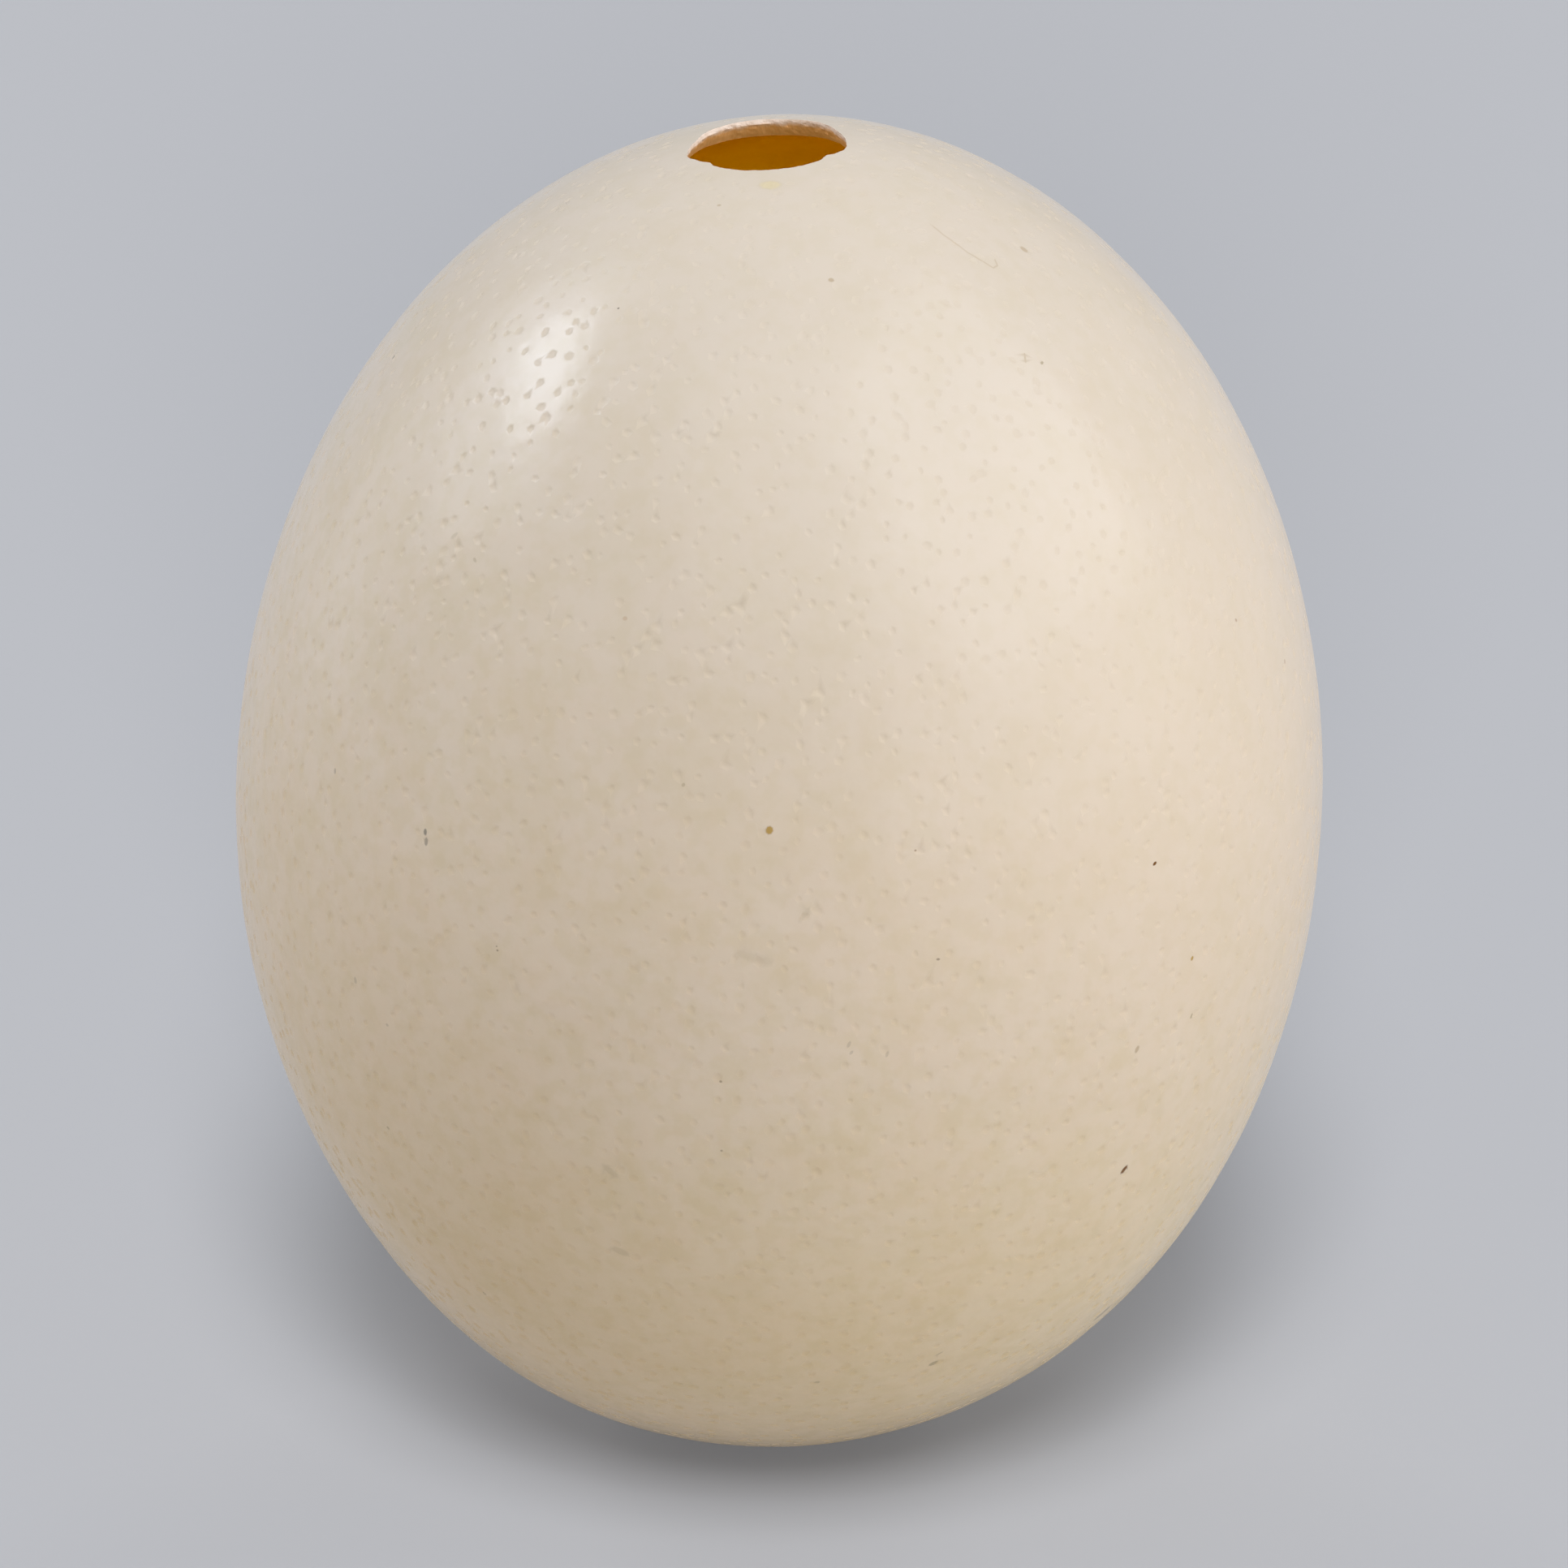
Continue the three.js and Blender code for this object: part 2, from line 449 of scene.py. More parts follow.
class Marks:
    """Ellipses of colour on the skin, given in the upright egg."""

    def __init__(self):
        pixels = [mark[0] for mark in MARKS]
        turn = np.radians([mark[3] for mark in MARKS])[:, None]
        self.long = np.array([mark[1] for mark in MARKS]) * MM / 2
        self.short = np.array([mark[2] for mark in MARKS]) * MM / 2
        self.colour = np.array([mark[4] for mark in MARKS])
        self.strength = np.array([mark[5] for mark in MARKS])
        self.centre = seen_at(pixels)
        heading = np.cos(turn) * VIEW_RIGHT + np.sin(turn) * VIEW_UP
        outward = unit(self.centre)
        self.long_axis = unit(heading - (heading * outward).sum(axis=1)[:, None] * outward)
        self.short_axis = np.cross(outward, self.long_axis)

        self.scratch = points_along(seen_at(SCRATCH), SCRATCH_STEPS)
        self.scratch_sides = unit(np.cross(np.gradient(self.scratch, axis=0), self.scratch))

    def vertices(self):
        """Directions that draw every mark and the scratch."""
        points = [self.centre]
        for size in (MARK_CORE, MARK_FADE):
            for turn in np.arange(MARK_CORNERS) * 2 * np.pi / MARK_CORNERS:
                along = (self.long * size * np.cos(turn))[:, None]
                beside = (self.short * size * np.sin(turn))[:, None]
                points.append(self.centre + self.long_axis * along + self.short_axis * beside)
        for side in (-1, 0, 1):
            points.append(self.scratch + side * SCRATCH_WIDTH * self.scratch_sides)
        return direction_of(np.concatenate(points))

    def colours(self, point):
        """Each point's mark colour, with its strength as alpha."""
        colour = np.tile((*UNMARKED, 0.0), (len(point), 1))
        for i, centre in enumerate(self.centre):
            offset = point - centre
            along = offset @ self.long_axis[i] / self.long[i]
            beside = offset @ self.short_axis[i] / self.short[i]
            away = np.sqrt(along**2 + beside**2 + (offset @ unit(centre) / MM) ** 2)
            fade = np.clip((MARK_FADE - away) / (MARK_FADE - MARK_CORE), 0, 1)
            colour[fade > 0, :3] = self.colour[i]
            colour[:, 3] = np.maximum(colour[:, 3], fade * self.strength[i])
        for corner in self.scratch:
            away = np.linalg.norm(point - corner, axis=1) / SCRATCH_WIDTH
            colour[away < SCRATCH_REACH[1], :3] = TAN
            colour[away < SCRATCH_REACH[0], 3] = SCRATCH_STRENGTH
        return colour


def points_along(corners, steps):
    """The corners of a path and points evenly between them."""
    at = np.arange(len(corners))
    fine = np.linspace(0, len(corners) - 1, (len(corners) - 1) * steps + 1)
    return np.column_stack([np.interp(fine, at, line) for line in corners.T])


# ---------------------------------------------------------------------------
# The shell's mesh
# ---------------------------------------------------------------------------

SKIN, BROKEN, INSIDE = 0, 1, 2  # the order of the shell's materials

SKIN_FILL = 5000            # points tried, to fill the skin between pits
FILL_MARGIN = 0.6 * MM      # from those to the hole and to the flat spot
FILL_CLEARANCE = 1.6        # and to the middles of pits, in half-lengths of the pit
INSIDE_POINTS = 4200
RIM_CORNERS = 264
SPOT_CORNERS = 96
MERGE_DISTANCE = 1e-7       # between points of the triangulated plane, in radii of the sphere

# Down the broken rim, from the outside to the inside: the share of the wall's depth.
RIM_ROWS = (0.0, 0.06, 0.14, 0.24, 0.36, 0.5, 0.65, 0.82, 1.0)
RIM_BURST = 1.3 * MM                  # how much wider the hole broke on the inside
RIM_BEVEL = (0.03 * MM, 0.4 * MM)     # chipped edge: narrowest, and widest at the back left
RIM_BEVEL_AZIMUTH = np.radians(125)
RIM_BEVEL_WANDER = 0.6                # share of its width that comes and goes
RIM_ROUGHNESS = 0.12 * MM
RIM_JAGS = 0.1 * MM

# The bake map's discs, by (on the inside, in the upper half): centre and radius.
BAKE_DISCS = {
    (False, True): (0.29, 0.71, 0.28),
    (False, False): (0.71, 0.29, 0.28),
    (True, True): (0.82, 0.82, 0.16),
    (True, False): (0.18, 0.18, 0.16),
}
RIM_SHRINK = 0.5                      # how far the rim reaches in towards its disc's middle


def ragged(azimuth, level, waves):
    """Smooth noise from -1 to 1 round the rim, about `waves` waves to a radian."""
    places = zip(np.cos(azimuth) * waves, np.sin(azimuth) * waves)
    return np.array([noise.noise((x, y, level + waves)) for x, y in places])


def rim_rows():
    """Points down the broken rim, row by row, as directions and insets. The chipped edge is at
    its full width a quarter of the way down, and the roughness at its full height a sixth."""
    azimuth = np.arange(RIM_CORNERS) * 2 * np.pi / RIM_CORNERS
    heading = np.column_stack((np.cos(azimuth), np.sin(azimuth)))
    towards_back = (1 + np.cos(azimuth - RIM_BEVEL_AZIMUTH)) / 2
    bevel = RIM_BEVEL[0] + (RIM_BEVEL[1] - RIM_BEVEL[0]) * towards_back**2
    bevel *= 1 + RIM_BEVEL_WANDER * ragged(azimuth, 0, 5)
    edge = rim_radius(azimuth) + RIM_JAGS * (ragged(azimuth, 0, 9) + 0.6 * ragged(azimuth, 0, 24))
    rows = []
    for depth in RIM_ROWS:
        chipped = bevel * min(1, 4 * depth)
        rough = RIM_ROUGHNESS * min(1, 6 * depth)
        radius = edge - chipped + RIM_BURST * depth**1.3
        radius += rough * (ragged(azimuth, 6 * depth, 12) + 0.5 * ragged(azimuth, 15 * depth, 34))
        inset = np.full(RIM_CORNERS, depth * WALL)
        rows.append((direction_over(HOLE_CENTRE + radius[:, None] * heading, inset), inset))
    return rows


def flat_spot():
    """Directions in and round the flat spot: its edge, found by halving, a ring inside the edge
    and the middle."""
    middle = direction_of(unplace(np.zeros((1, 3))))
    first, second = tangents(middle)
    turn = (np.arange(SPOT_CORNERS) * 2 * np.pi / SPOT_CORNERS)[:, None]
    heading = first * np.cos(turn) + second * np.sin(turn)
    near, far = np.zeros((SPOT_CORNERS, 1)), np.full((SPOT_CORNERS, 1), 0.5)
    for _ in range(40):
        tilt = (near + far) / 2
        edge = middle * np.cos(tilt) + heading * np.sin(tilt)
        above = place(shell_point(edge))[:, 2:] > 0
        near, far = np.where(above, near, tilt), np.where(above, tilt, far)
    ring = unit(middle + edge[::4])
    return np.concatenate((edge, ring, middle))


HOLE_DIRECTION = direction_over(HOLE_CENTRE[None], 0)


def triangulate(direction):
    """Triangles that cover the sphere outside the hole's rim, which comes first in the list.
    They are the Delaunay triangles of a plane on which the hole is all that is outside."""
    first, second = tangents(HOLE_DIRECTION)
    away = 1 - direction @ HOLE_DIRECTION[0]
    plane = 2 * np.column_stack((direction @ first[0], direction @ second[0])) / away[:, None]
    edges = [(i, (i + 1) % RIM_CORNERS) for i in range(RIM_CORNERS)]
    inside_edges = 1
    corners = [Vector(point) for point in plane.tolist()]
    found = delaunay_2d_cdt(corners, edges, [], inside_edges, MERGE_DISTANCE)
    source = np.array([merged[0] for merged in found[3]])
    return source[np.array(found[2])]


def strips(upper, lower):
    """Triangles between two closed rows of vertex numbers."""
    next_upper, next_lower = np.roll(upper, -1), np.roll(lower, -1)
    return np.concatenate(
        (
            np.column_stack((upper, lower, next_upper)),
            np.column_stack((next_upper, lower, next_lower)),
        )
    )


def fill_directions(count, margin, pits=None):
    """Evenly spread directions, off the edges and, given pits, off the pits too."""
    spread = lattice(count)
    spread = spread[clear_of_edges(spread, margin)]
    if pits is None:
        return spread
    near = pits.near(spread, 2)
    gap = np.linalg.norm(shell_point(spread)[:, None] - pits.centre[near], axis=-1)
    return spread[(gap > FILL_CLEARANCE * pits.long[near]).all(axis=1)]


def set_attribute(mesh, name, kind, values):
    attribute = mesh.attributes.new(name, kind, "POINT")
    key = "color" if kind == "FLOAT_COLOR" else "value"
    attribute.data.foreach_set(key, np.ascontiguousarray(values, dtype=np.float32).ravel())


def bake_map(mesh, points, triangles, layer):
    """Unwraps the shell: the outside and the inside as two discs each, seen along the long
    axis, with the rim inside the upper outside disc's hole."""
    corner = points[triangles]
    upper = corner[..., 2].mean(axis=1) > 0
    x, y, z = np.moveaxis(corner, -1, 0)
    from_end = np.arctan2(np.hypot(x, y), np.where(upper[:, None], z, -z)) / (np.pi / 2)
    azimuth = np.arctan2(y, x)
    inside = (layer[triangles] == 1).all(axis=1)
    uv = np.zeros(corner.shape[:2] + (2,))
    for (hidden, top), (u, v, size) in BAKE_DISCS.items():
        chosen = (inside == hidden) & (upper == top)
        shrink = 1 - RIM_SHRINK * np.where(hidden, 0, layer[triangles[chosen]])
        out = from_end[chosen] * size * shrink
        uv[chosen, :, 0] = u + out * np.cos(azimuth[chosen])
        uv[chosen, :, 1] = v + out * np.sin(azimuth[chosen])
    mesh.uv_layers.new(name="OFBake").data.foreach_set("uv", uv.astype(np.float32).ravel())


def paint_skin(mesh, outside, near, skin, marks):
    """Notes how far each point is into a pit, and its mark's colour. The skin's points come
    first in the mesh, and the rim and the inside have neither pits nor marks."""
    on_egg = shell_point(outside)
    pit = np.zeros(len(mesh.vertices))
    pit[:len(outside)] = skin.pits.inside(on_egg, near).max(axis=1)
    set_attribute(mesh, "pit", "FLOAT", pit)
    colour = np.zeros((len(mesh.vertices), 4))
    colour[:len(outside)] = marks.colours(on_egg)
    set_attribute(mesh, "mark", "FLOAT_COLOR", colour)


def set_normals(mesh, triangles, skin_normals, worn):
    """Gives the skin its true normals, and the flat spot its own. Zeros leave the rim and the
    inside with the mesh's normals."""
    normals = np.zeros((len(mesh.vertices), 3))
    normals[:len(skin_normals)] = skin_normals
    corner_normals = normals[triangles]
    corner_normals[:len(worn)][worn] = (0, 0, -1)
    corner_normals[len(worn):] = 0
    mesh.normals_split_custom_set(corner_normals.reshape(-1, 3).tolist())


def make_shell():
    rng = np.random.default_rng(SEED)
    skin = Skin(rng)
    marks = Marks()
    rows = rim_rows()
    spot = flat_spot()

    outside = np.concatenate(
        (
            rows[0][0],
            spot,
            skin.pits.vertices(),
            marks.vertices(),
            fill_directions(SKIN_FILL, FILL_MARGIN, skin.pits),
        )
    )
    on_spot = np.zeros(len(outside), dtype=bool)
    on_spot[RIM_CORNERS:RIM_CORNERS + len(spot)] = True
    near = skin.pits.near(outside)
    outside_points = place(skin.point(outside, near))
    outside_points[on_spot, 2] = 0
    outside_triangles = triangulate(outside)[:, ::-1]

    rim_points = [place(shell_point(direction, inset)) for direction, inset in rows[1:]]
    inside = np.concatenate((rows[-1][0], fill_directions(INSIDE_POINTS, 2 * RIM_BURST)))
    inside_points = place(shell_point(inside[RIM_CORNERS:], WALL))
    points = np.concatenate([outside_points, *rim_points, inside_points])

    row_starts = [0] + [len(outside) + i * RIM_CORNERS for i in range(len(rows) - 1)]
    row_numbers = [start + np.arange(RIM_CORNERS) for start in row_starts]
    rim_triangles = np.concatenate([strips(a, b) for a, b in zip(row_numbers, row_numbers[1:])])
    inside_triangles = triangulate(inside) + row_starts[-1]
    triangles = np.concatenate((outside_triangles, rim_triangles, inside_triangles))

    mesh = bpy.data.meshes.new("eggshell_surface")
    mesh.from_pydata(points.tolist(), [], triangles.tolist())

    worn = on_spot[outside_triangles].all(axis=1)
    kind = np.concatenate(
        (
            np.where(worn, BROKEN, SKIN),
            np.full(len(rim_triangles), BROKEN),
            np.full(len(inside_triangles), INSIDE),
        )
    )
    mesh.polygons.foreach_set("material_index", kind.astype(np.int32))
    mesh.polygons.foreach_set("use_smooth", kind != BROKEN)

    paint_skin(mesh, outside, near, skin, marks)
    layer = np.ones(len(points))
    layer[:len(outside)] = 0
    for depth, numbers in zip(RIM_ROWS, row_numbers):
        layer[numbers] = depth
    set_attribute(mesh, "layer", "FLOAT", layer)
    bake_map(mesh, unplace(points), triangles, layer)
    set_normals(mesh, triangles, stand(skin.normal(outside, near)), worn)

    shell = bpy.data.objects.new("shell", mesh)
    bpy.context.collection.objects.link(shell)
    return shell


# ---------------------------------------------------------------------------
# Materials
# ---------------------------------------------------------------------------

IVORY = (0.80, 0.695, 0.575)          # at the upper end
SAND = (0.895, 0.735, 0.56)           # half way up
# The lower end is lighter than the rest: painted bounce light from the floor.
BUFF = (0.99, 0.785, 0.475)           # at the lower end
SAND_REACH = (0.0, 80 * MM)           # heights where sand starts and is whole
IVORY_REACH = (70 * MM, 155 * MM)     # and where ivory does
# Low on the left the shell is browner, and darker as painted shade on the egg's shaded side.
BROWN_AND_SHADE = (0.81, 0.61, 0.375)     # low on the left
BROWN_AND_SHADE_TOWARDS = (-0.6, 0.0, -0.8)
BROWN_AND_SHADE_REACH = (-60 * MM, 25 * MM)     # along that direction, from none to all of it
MOTTLE_REACH = (-115 * MM, -45 * MM)  # and the mottling below, from its least to all of it
LEAST_MOTTLE = 0.45

# Faint clouds and mottling: what each lets through, the size of its patches, and its strength.
CREAM = (1.0, 0.98, 0.92)
BLUSH = (1.0, 0.965, 0.94)
OLIVE_TAN = (0.9, 0.885, 0.74)
SKIN_CLOUDS = (
    (CREAM, 22 * MM, 0.3),
    (BLUSH, 8 * MM, 0.3),
    (OLIVE_TAN, 7 * MM, 0.26),
    (OLIVE_TAN, 2.2 * MM, 0.34),
    (BLUSH, 1.4 * MM, 0.3),
)
CLOUD_EDGES = (0.42, 0.66)            # noise that is clear of a cloud, and deep in one

# Pits are tan and a little darker: partly their own tan, partly painted shade in the hollows.
PIT_TAN_AND_SHADE = (0.92, 0.88, 0.80)
PIT_TINT = 0.3                        # share of that colour in the middle of a pit
PIT_DULLNESS = 0.25                   # roughness that a pit adds
PIT_SHADE = (0.1, 0.7)                # how far into a pit both start, and are whole

POLISH = (0.21, 0.27)                 # roughness of the skin, least and most
POLISH_PATCH = 9 * MM
RELIEF_SIZE = 2.8 * MM
RELIEF_HEIGHT = 0.1 * MM
GRAIN_SIZE = 0.6 * MM
GRAIN_HEIGHT = 0.002 * MM

CHALK = (0.90, 0.80, 0.72)
# Towards the inside the broken edge is tan: partly the shell's own colour, partly painted amber light
# that comes through the shell.
BROKEN_TAN = (0.95, 0.52, 0.22)
BREAK_WANDER = 0.4                    # how far the border between those two wanders, in walls
BREAK_BORDER = (0.33, 0.7)            # depth and wander together, where tan starts and is whole
BREAK_GRAIN = 0.3 * MM
EDGE_GLOW = (1.0, 0.42, 0.04)         # stands for light that comes through the shell
EDGE_GLOW_STRENGTH = 0.15

AMBER = (0.41, 0.185, 0.015)
DEEP_AMBER = (0.34, 0.145, 0.008)
AMBER_PATCH = 16 * MM
GLOW_DEPTH = 24 * MM                  # how far red light spreads in the wall
GLOW_SHARES = (1.0, 0.6, 0.03)        # and how far red, green and blue do, as shares of it


class Graph:
    """A new material's nodes, with short calls to add and join them."""

    def __init__(self, name):
        self.material = bpy.data.materials.new(name)
        self.material.use_nodes = True
        self.tree = self.material.node_tree
        self.shader = self.tree.nodes["Principled BSDF"]

    def set(self, node, inputs):
        for name, value in inputs.items():
            socket = node.inputs[name]
            if isinstance(value, bpy.types.NodeSocket):
                self.tree.links.new(value, socket)
            elif isinstance(value, tuple) and socket.type == "RGBA":
                socket.default_value = (*value, 1)
            else:
                socket.default_value = value

    def add(self, kind, settings=None, **inputs):
        node = self.tree.nodes.new("ShaderNode" + kind)
        for name, value in (settings or {}).items():
            setattr(node, name, value)
        self.set(node, {name.replace("_", " "): value for name, value in inputs.items()})
        return node

    def place(self):
        return self.add("TexCoord").outputs["Object"]

    def along(self, direction):
        """How far each point lies from the origin along a direction."""
        node = self.add("VectorMath", {"operation": "DOT_PRODUCT"})
        self.tree.links.new(self.place(), node.inputs[0])
        node.inputs[1].default_value = direction
        return node.outputs["Value"]

    def noise(self, size, detail=2.0, roughness=0.5):
        """Noise from 0 to 1 whose features are about `size` metres across."""
        node = self.add(
            "TexNoise", Vector=self.place(), Scale=1 / size, Detail=detail, Roughness=roughness
        )
        return node.outputs["Fac"]

    def attribute(self, name):
        return self.add("Attribute", {"attribute_name": name})

    def ramp(self, value, low, high, to_low=0.0, to_high=1.0):
        node = self.add(
            "MapRange",
            {"interpolation_type": "SMOOTHSTEP"},
            Value=value,
            From_Min=low,
            From_Max=high,
            To_Min=to_low,
            To_Max=to_high,
        )
        return node.outputs["Result"]

    def maths(self, operation, first, second):
        node = self.tree.nodes.new("ShaderNodeMath")
        node.operation = operation
        for socket, value in zip(node.inputs, (first, second)):
            if isinstance(value, bpy.types.NodeSocket):
                self.tree.links.new(value, socket)
            else:
                socket.default_value = value
        return node.outputs["Value"]

    def mix(self, share, first, second, blend="MIX"):
        node = self.tree.nodes.new("ShaderNodeMix")
        node.data_type = "RGBA"
        node.blend_type = blend
        colours = [socket for socket in node.inputs if socket.type == "RGBA"]
        for socket, value in zip((node.inputs["Factor"], *colours), (share, first, second)):
            if isinstance(value, bpy.types.NodeSocket):
                self.tree.links.new(value, socket)
            elif isinstance(value, tuple):
                socket.default_value = (*value, 1)
            else:
                socket.default_value = value
        return [socket for socket in node.outputs if socket.type == "RGBA"][0]

    def bump(self, height, distance, strength=1.0, normal=None):
        inputs = {"Height": height, "Distance": distance, "Strength": strength}
        if normal is not None:
            inputs["Normal"] = normal
        node = self.tree.nodes.new("ShaderNodeBump")
        self.set(node, inputs)
        return node.outputs["Normal"]


def shell_material():
    """Ivory with a satin gloss: faint clouds and mottling, dull pits, specks and stains. The pits are
    tan and a little darker, partly as painted shade in the hollows; the lower end is lighter, as
    painted bounce light from the floor; the lower left is browner, and darker as painted shade.
    The mottling and the fine relief are weaker high on the right, where the skin is smoother."""
    graph = Graph("ivory_shell")
    height = graph.along((0.0, 0.0, 1.0))
    # Lighter towards the lower end: painted bounce light from the floor.
    colour = graph.mix(graph.ramp(height, *SAND_REACH), BUFF, SAND)
    colour = graph.mix(graph.ramp(height, *IVORY_REACH), colour, IVORY)
    # Browner and darker low on the left: the shell's own brown tone, with painted shade on the egg's
    # shaded side.
    tone_and_painted_light = graph.ramp(graph.along(BROWN_AND_SHADE_TOWARDS), *BROWN_AND_SHADE_REACH)
    colour = graph.mix(tone_and_painted_light, colour, BROWN_AND_SHADE)
    mottled = graph.ramp(graph.along(BROWN_AND_SHADE_TOWARDS), *MOTTLE_REACH, LEAST_MOTTLE, 1.0)
    for tint, size, share in SKIN_CLOUDS:
        clouds = graph.ramp(graph.noise(size, 3), *CLOUD_EDGES, 0.0, share)
        clouds = graph.maths("MULTIPLY", clouds, mottled)
        colour = graph.mix(clouds, colour, tint, "MULTIPLY")

    in_pit = graph.ramp(graph.attribute("pit").outputs["Fac"], *PIT_SHADE)
    # Tan and darker in the pits: partly painted shade in the hollows.
    tan_and_shade_in_pits = graph.maths("MULTIPLY", graph.maths("MULTIPLY", in_pit, PIT_TINT), mottled)
    colour = graph.mix(tan_and_shade_in_pits, colour, PIT_TAN_AND_SHADE, "MULTIPLY")
    mark = graph.attribute("mark")
    colour = graph.mix(mark.outputs["Alpha"], colour, mark.outputs["Color"])

    polish = graph.ramp(graph.noise(POLISH_PATCH, 3), 0.3, 0.7, *POLISH)
    roughness = graph.maths("ADD", polish, graph.maths("MULTIPLY", in_pit, PIT_DULLNESS))
    relief = graph.bump(graph.noise(RELIEF_SIZE, 2, 0.4), RELIEF_HEIGHT, mottled)
    normal = graph.bump(graph.noise(GRAIN_SIZE, 2, 0.5), GRAIN_HEIGHT, 1.0, relief)
    graph.set(
        graph.shader,
        {"Base Color": colour, "Roughness": roughness, "Normal": normal, "IOR": 1.5},
    )
    return graph.material


def rim_material():
    """Bare, broken shell: chalky at the outside and tan towards the inside, the tan partly painted
    light through the shell, and an even painted glow.
    """
    graph = Graph("broken_shell")
    layer = graph.attribute("layer").outputs["Fac"]
    wander = graph.maths("MULTIPLY", graph.noise(1.5 * MM, 3), BREAK_WANDER)
    # From chalk to tan down the wall; the tan is partly painted light that comes through the shell.
    tone_and_painted_light = graph.ramp(graph.maths("ADD", layer, wander), *BREAK_BORDER)
    graph.set(
        graph.shader,
        {
            "Base Color": graph.mix(tone_and_painted_light, CHALK, BROKEN_TAN),
            # A painted glow, for light that comes through the shell.
            "Emission Color": EDGE_GLOW,
            "Emission Strength": EDGE_GLOW_STRENGTH,
            "Roughness": 0.8,
            "Normal": graph.bump(graph.noise(BREAK_GRAIN, 4, 0.7), 0.04 * MM),
        },
    )
    return graph.material


def inside_material():
    """The inside: light comes through the shell from outside, and it glows amber."""
    graph = Graph("amber_inside")
    clouds = graph.ramp(graph.noise(AMBER_PATCH, 3), 0.35, 0.65)
    colour = graph.mix(clouds, AMBER, DEEP_AMBER)
    normal = graph.bump(graph.noise(0.8 * MM, 3), 0.03 * MM)
    graph.set(
        graph.shader,
        {
            "Base Color": colour,
            "Roughness": 0.6,
            "Normal": normal,
            "Subsurface Weight": 1.0,
            "Subsurface Radius": GLOW_SHARES,
            "Subsurface Scale": GLOW_DEPTH,
        },
    )
    return graph.material


# ---------------------------------------------------------------------------
# Floor, backdrop and lamps
# ---------------------------------------------------------------------------

FLOOR_REACH = 24.0          # metres from the egg to each side of the floor
BACKDROP = np.array((0.508, 0.521, 0.558))
SURROUND = 0.40             # brightness of the even light from all round
FLOOR_LIGHT = 1.6           # what the lamps that light the floor alone add on it

# Those lamps, very broad suns: azimuth and elevation in degrees, and share of their light.
# Most come from the camera's side, so that most of the shadow falls behind the egg.
FLOOR_LAMPS = {
    "floor_front_high": (-90, 60, 0.28),
    "floor_front": (-90, 45, 0.34),
    "floor_front_low": (-90, 15, 0.28),
    "floor_back_right": (60, 15, 0.05),
    "floor_back_left": (120, 15, 0.05),
}
FLOOR_LAMP_BREADTH = np.radians(20)
FLOOR_LAMP_DISTANCE = 2.0   # a sun's light is the same from any distance

WHITE = (1.0, 1.0, 1.0)
COOL_WHITE = (0.95, 1.0, 1.07)
COLD_WHITE = (0.91, 1.0, 1.14)

# Softboxes that light the egg alone: azimuth from +X towards +Y and elevation in degrees,
# turn round the lamp's own axis, distance, width and height in metres, watts and colour.
SOFTBOXES = {
    "key": (-30, 14, 0, 1.3, 2.0, 2.0, 6.8, WHITE),
    "front_top": (-80, 55, 0, 1.2, 1.2, 1.2, 2.4, WHITE),
    "sheen": (-23, 45, 0, 0.9, 0.9, 0.9, 3.0, COOL_WHITE),
    "left_side": (155, 5, 0, 1.3, 0.6, 1.5, 1.0, COOL_WHITE),
    "highlight": (170, 45, -12, 0.6, 0.2, 0.12, 0.4, COLD_WHITE),
    "halo": (168, 40, -28, 0.6, 0.46, 0.3, 0.5, COLD_WHITE),
}


def make_floor():
    mesh = bpy.data.meshes.new("floor")
    corners = [(x * FLOOR_REACH, y * FLOOR_REACH, 0) for x, y in ((-1, -1), (1, -1), (1, 1), (-1, 1))]
    mesh.from_pydata(corners, [], [(0, 1, 2, 3)])
    floor = bpy.data.objects.new("floor", mesh)
    bpy.context.collection.objects.link(floor)
    material = bpy.data.materials.new("pale_floor")
    material.use_nodes = True
    shader = material.node_tree.nodes["Principled BSDF"]
    shader.inputs["Base Color"].default_value = (*BACKDROP / (SURROUND + FLOOR_LIGHT), 1)
    shader.inputs["Roughness"].default_value = 0.9
    shader.inputs["Specular IOR Level"].default_value = 0.0
    mesh.materials.append(material)
    return floor


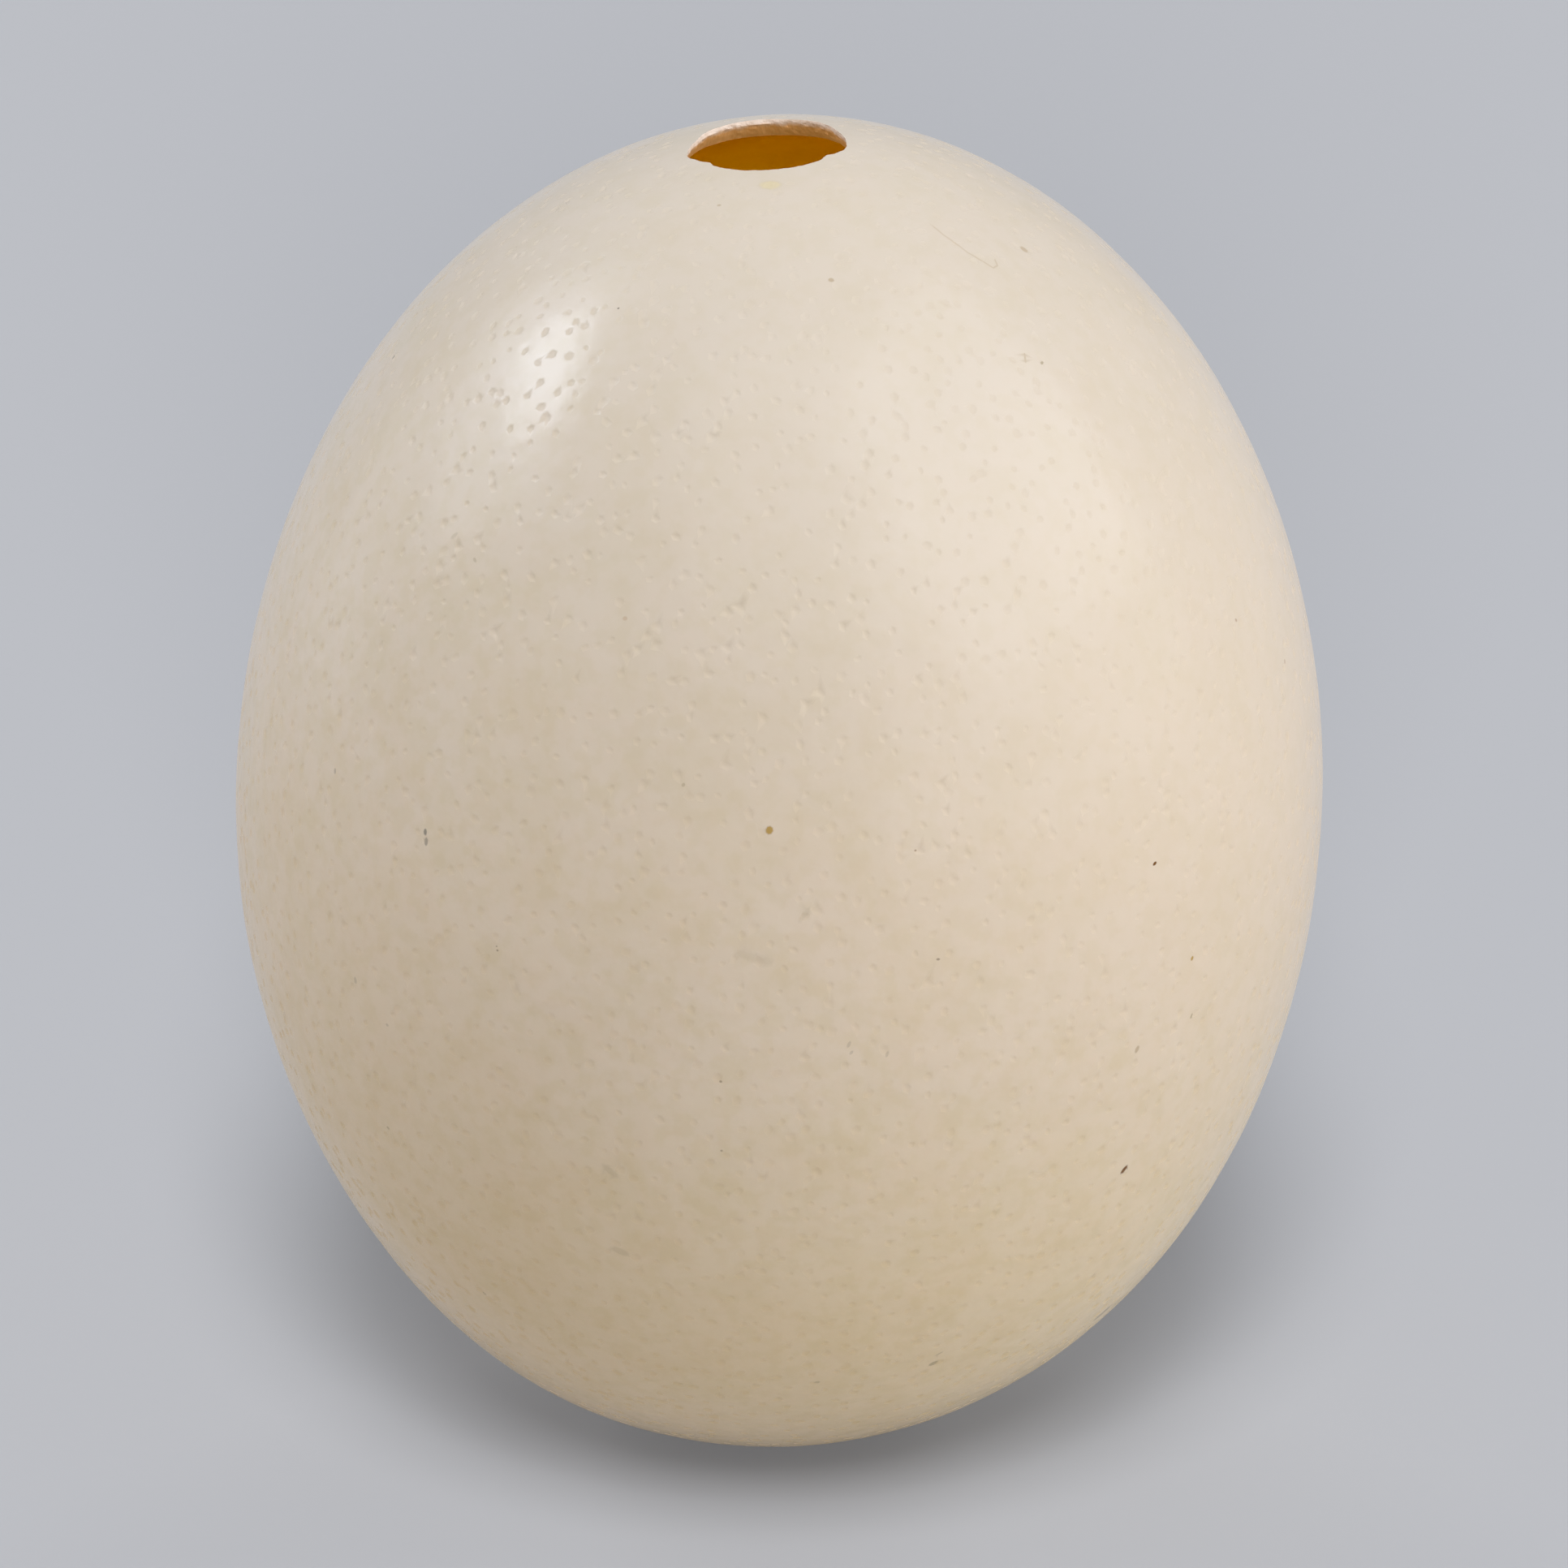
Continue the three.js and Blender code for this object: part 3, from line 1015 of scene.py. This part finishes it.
def make_world():
    """Even light from all round, behind a backdrop of the floor's colour that only the camera
    sees."""
    world = bpy.data.worlds.new("studio")
    world.use_nodes = True
    nodes, links = world.node_tree.nodes, world.node_tree.links
    light = nodes["Background"]
    light.inputs["Color"].default_value = (*WHITE, 1)
    light.inputs["Strength"].default_value = SURROUND
    backdrop = nodes.new("ShaderNodeBackground")
    backdrop.inputs["Color"].default_value = (*BACKDROP, 1)
    ray = nodes.new("ShaderNodeLightPath")
    choice = nodes.new("ShaderNodeMixShader")
    links.new(ray.outputs["Is Camera Ray"], choice.inputs["Fac"])
    links.new(light.outputs["Background"], choice.inputs[1])
    links.new(backdrop.outputs["Background"], choice.inputs[2])
    links.new(choice.outputs["Shader"], nodes["World Output"].inputs["Surface"])
    bpy.context.scene.world = world


def make_lamp(data, azimuth, elevation, turn, distance, lit):
    """Aims a lamp at the egg's middle. Its light falls on nothing but one piece."""
    lamp = bpy.data.objects.new(data.name, data)
    direction = Vector(direction_at(elevation, azimuth))
    facing = direction.to_track_quat("Z", "Y") @ Quaternion((0, 0, 1), np.radians(turn))
    lamp.location = Vector((0, 0, MIDDLE_HEIGHT)) + direction * distance
    lamp.rotation_euler = facing.to_euler()
    bpy.context.collection.objects.link(lamp)
    receivers = bpy.data.collections.new(data.name + "_lights")
    receivers.objects.link(lit)
    lamp.light_linking.receiver_collection = receivers


def make_softboxes(lit):
    for name, facts in SOFTBOXES.items():
        azimuth, elevation, turn, distance, width, height, watts, colour = facts
        data = bpy.data.lights.new(name, "AREA")
        data.shape = "RECTANGLE"
        data.size = width
        data.size_y = height
        data.energy = watts
        data.color = colour
        make_lamp(data, azimuth, elevation, turn, distance, lit)


def make_floor_lamps(floor):
    for name, (azimuth, elevation, share) in FLOOR_LAMPS.items():
        data = bpy.data.lights.new(name, "SUN")
        data.angle = FLOOR_LAMP_BREADTH
        data.energy = share * FLOOR_LIGHT * np.pi / np.sin(np.radians(elevation))
        make_lamp(data, azimuth, elevation, 0, FLOOR_LAMP_DISTANCE, floor)


make_camera()
make_world()
floor = make_floor()
make_floor_lamps(floor)

shell = make_shell()
for material in (shell_material(), rim_material(), inside_material()):
    shell.data.materials.append(material)
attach(shell, "root")
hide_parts("eggshell")

make_softboxes(shell)

bpy.context.scene.view_settings.view_transform = "Standard"
